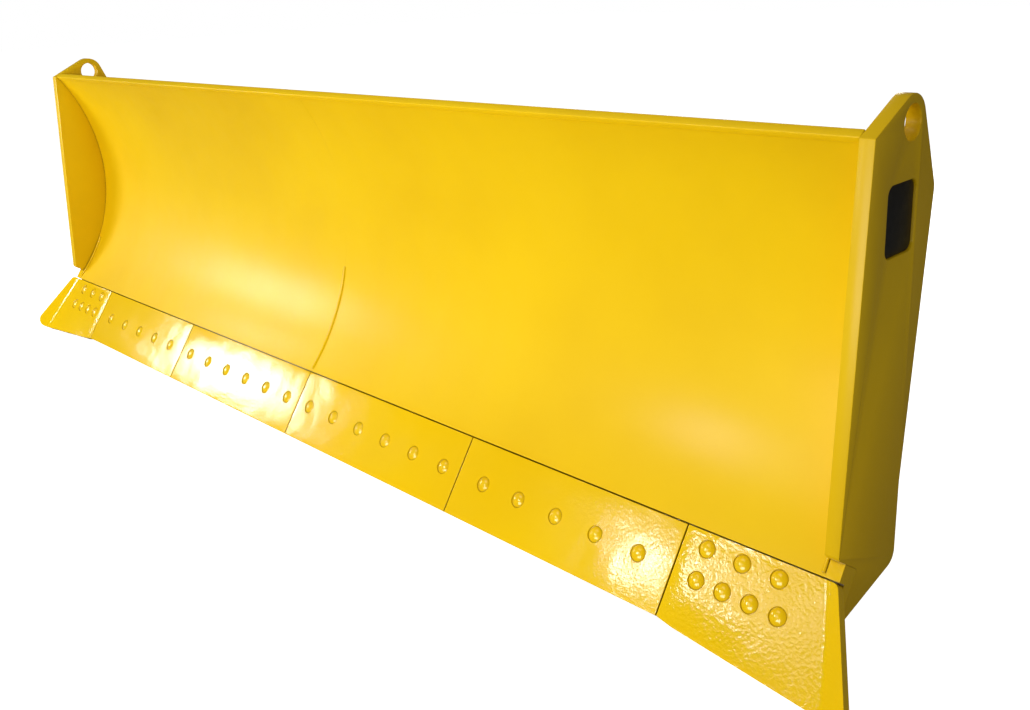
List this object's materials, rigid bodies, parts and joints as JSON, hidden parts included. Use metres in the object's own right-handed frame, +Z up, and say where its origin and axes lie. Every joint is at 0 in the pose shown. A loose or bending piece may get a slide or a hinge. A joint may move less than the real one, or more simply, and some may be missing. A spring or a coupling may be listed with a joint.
{
  "type": "straight dozer blade",
  "caption": "Wide straight dozer blade: concave moldboard between end plates, bolt-on cutting edges and end bits, box-stiffened back with pin clevises.",
  "frame": {"origin": "on the ground, under the middle of the blade's bounding box; the blade stands on its end bits and on the feet of its push-arm ears", "axes": "+X along the blade towards its right end seen from in front, -Y towards the material being pushed, +Z up"},
  "size_m": [4.596, 0.6951, 1.3724],
  "materials": {
    "body_paint": "glossy golden-yellow enamel",
    "wear_paint": "very glossy golden-yellow enamel with orange peel, on rolled wear plate",
    "bolt_paint": "glossy golden-yellow enamel over forged steel",
    "fastener_steel": "golden-yellow enamel over hexagon nuts and washers",
    "badge_black": "satin black",
    "bushing_steel": "machined and lightly oiled"
  },
  "bodies": {
    "root": {"back_rib_1": "body_paint", "back_rib_2": "body_paint", "back_rib_3": "body_paint", "back_rib_4": "body_paint", "back_rib_5": "body_paint", "back_rib_6": "body_paint", "badge_plate_left": "badge_black", "badge_plate_right": "badge_black", "brace_ear_left_inner": "body_paint", "brace_ear_left_outer": "body_paint", "brace_ear_right_inner": "body_paint", "brace_ear_right_outer": "body_paint", "cutting_edge_centre_left": "wear_paint", "cutting_edge_centre_right": "wear_paint", "cutting_edge_outer_left": "wear_paint", "cutting_edge_outer_right": "wear_paint", "edge_bolt_nuts": "fastener_steel", "edge_bolt_washers": "fastener_steel", "edge_seat_bar": "body_paint", "end_bit_left": "wear_paint", "end_bit_right": "wear_paint", "end_plate_left": "body_paint", "end_plate_right": "body_paint", "lower_box_back": "body_paint", "lower_box_floor": "body_paint", "lower_box_roof": "body_paint", "lower_box_web_left_inner": "body_paint", "lower_box_web_left_outer": "body_paint", "lower_box_web_right_inner": "body_paint", "lower_box_web_right_outer": "body_paint", "moldboard_left": "body_paint", "moldboard_right": "body_paint", "moldboard_seam_weld": "body_paint", "moldboard_top_rim": "body_paint", "plow_bolts_bit_left": "bolt_paint", "plow_bolts_bit_right": "bolt_paint", "plow_bolts_centre_left": "bolt_paint", "plow_bolts_centre_right": "bolt_paint", "plow_bolts_outer_left": "bolt_paint", "plow_bolts_outer_right": "bolt_paint", "push_arm_bushing_left_inner": "bushing_steel", "push_arm_bushing_left_outer": "bushing_steel", "push_arm_bushing_right_inner": "bushing_steel", "push_arm_bushing_right_outer": "bushing_steel", "push_arm_ear_left_inner": "body_paint", "push_arm_ear_left_outer": "body_paint", "push_arm_ear_right_inner": "body_paint", "push_arm_ear_right_outer": "body_paint", "upper_box_back": "body_paint", "upper_box_floor": "body_paint", "upper_box_roof": "body_paint", "upper_box_web_left_inner": "body_paint", "upper_box_web_left_outer": "body_paint", "upper_box_web_right_inner": "body_paint", "upper_box_web_right_outer": "body_paint"}
  },
  "joints": []
}
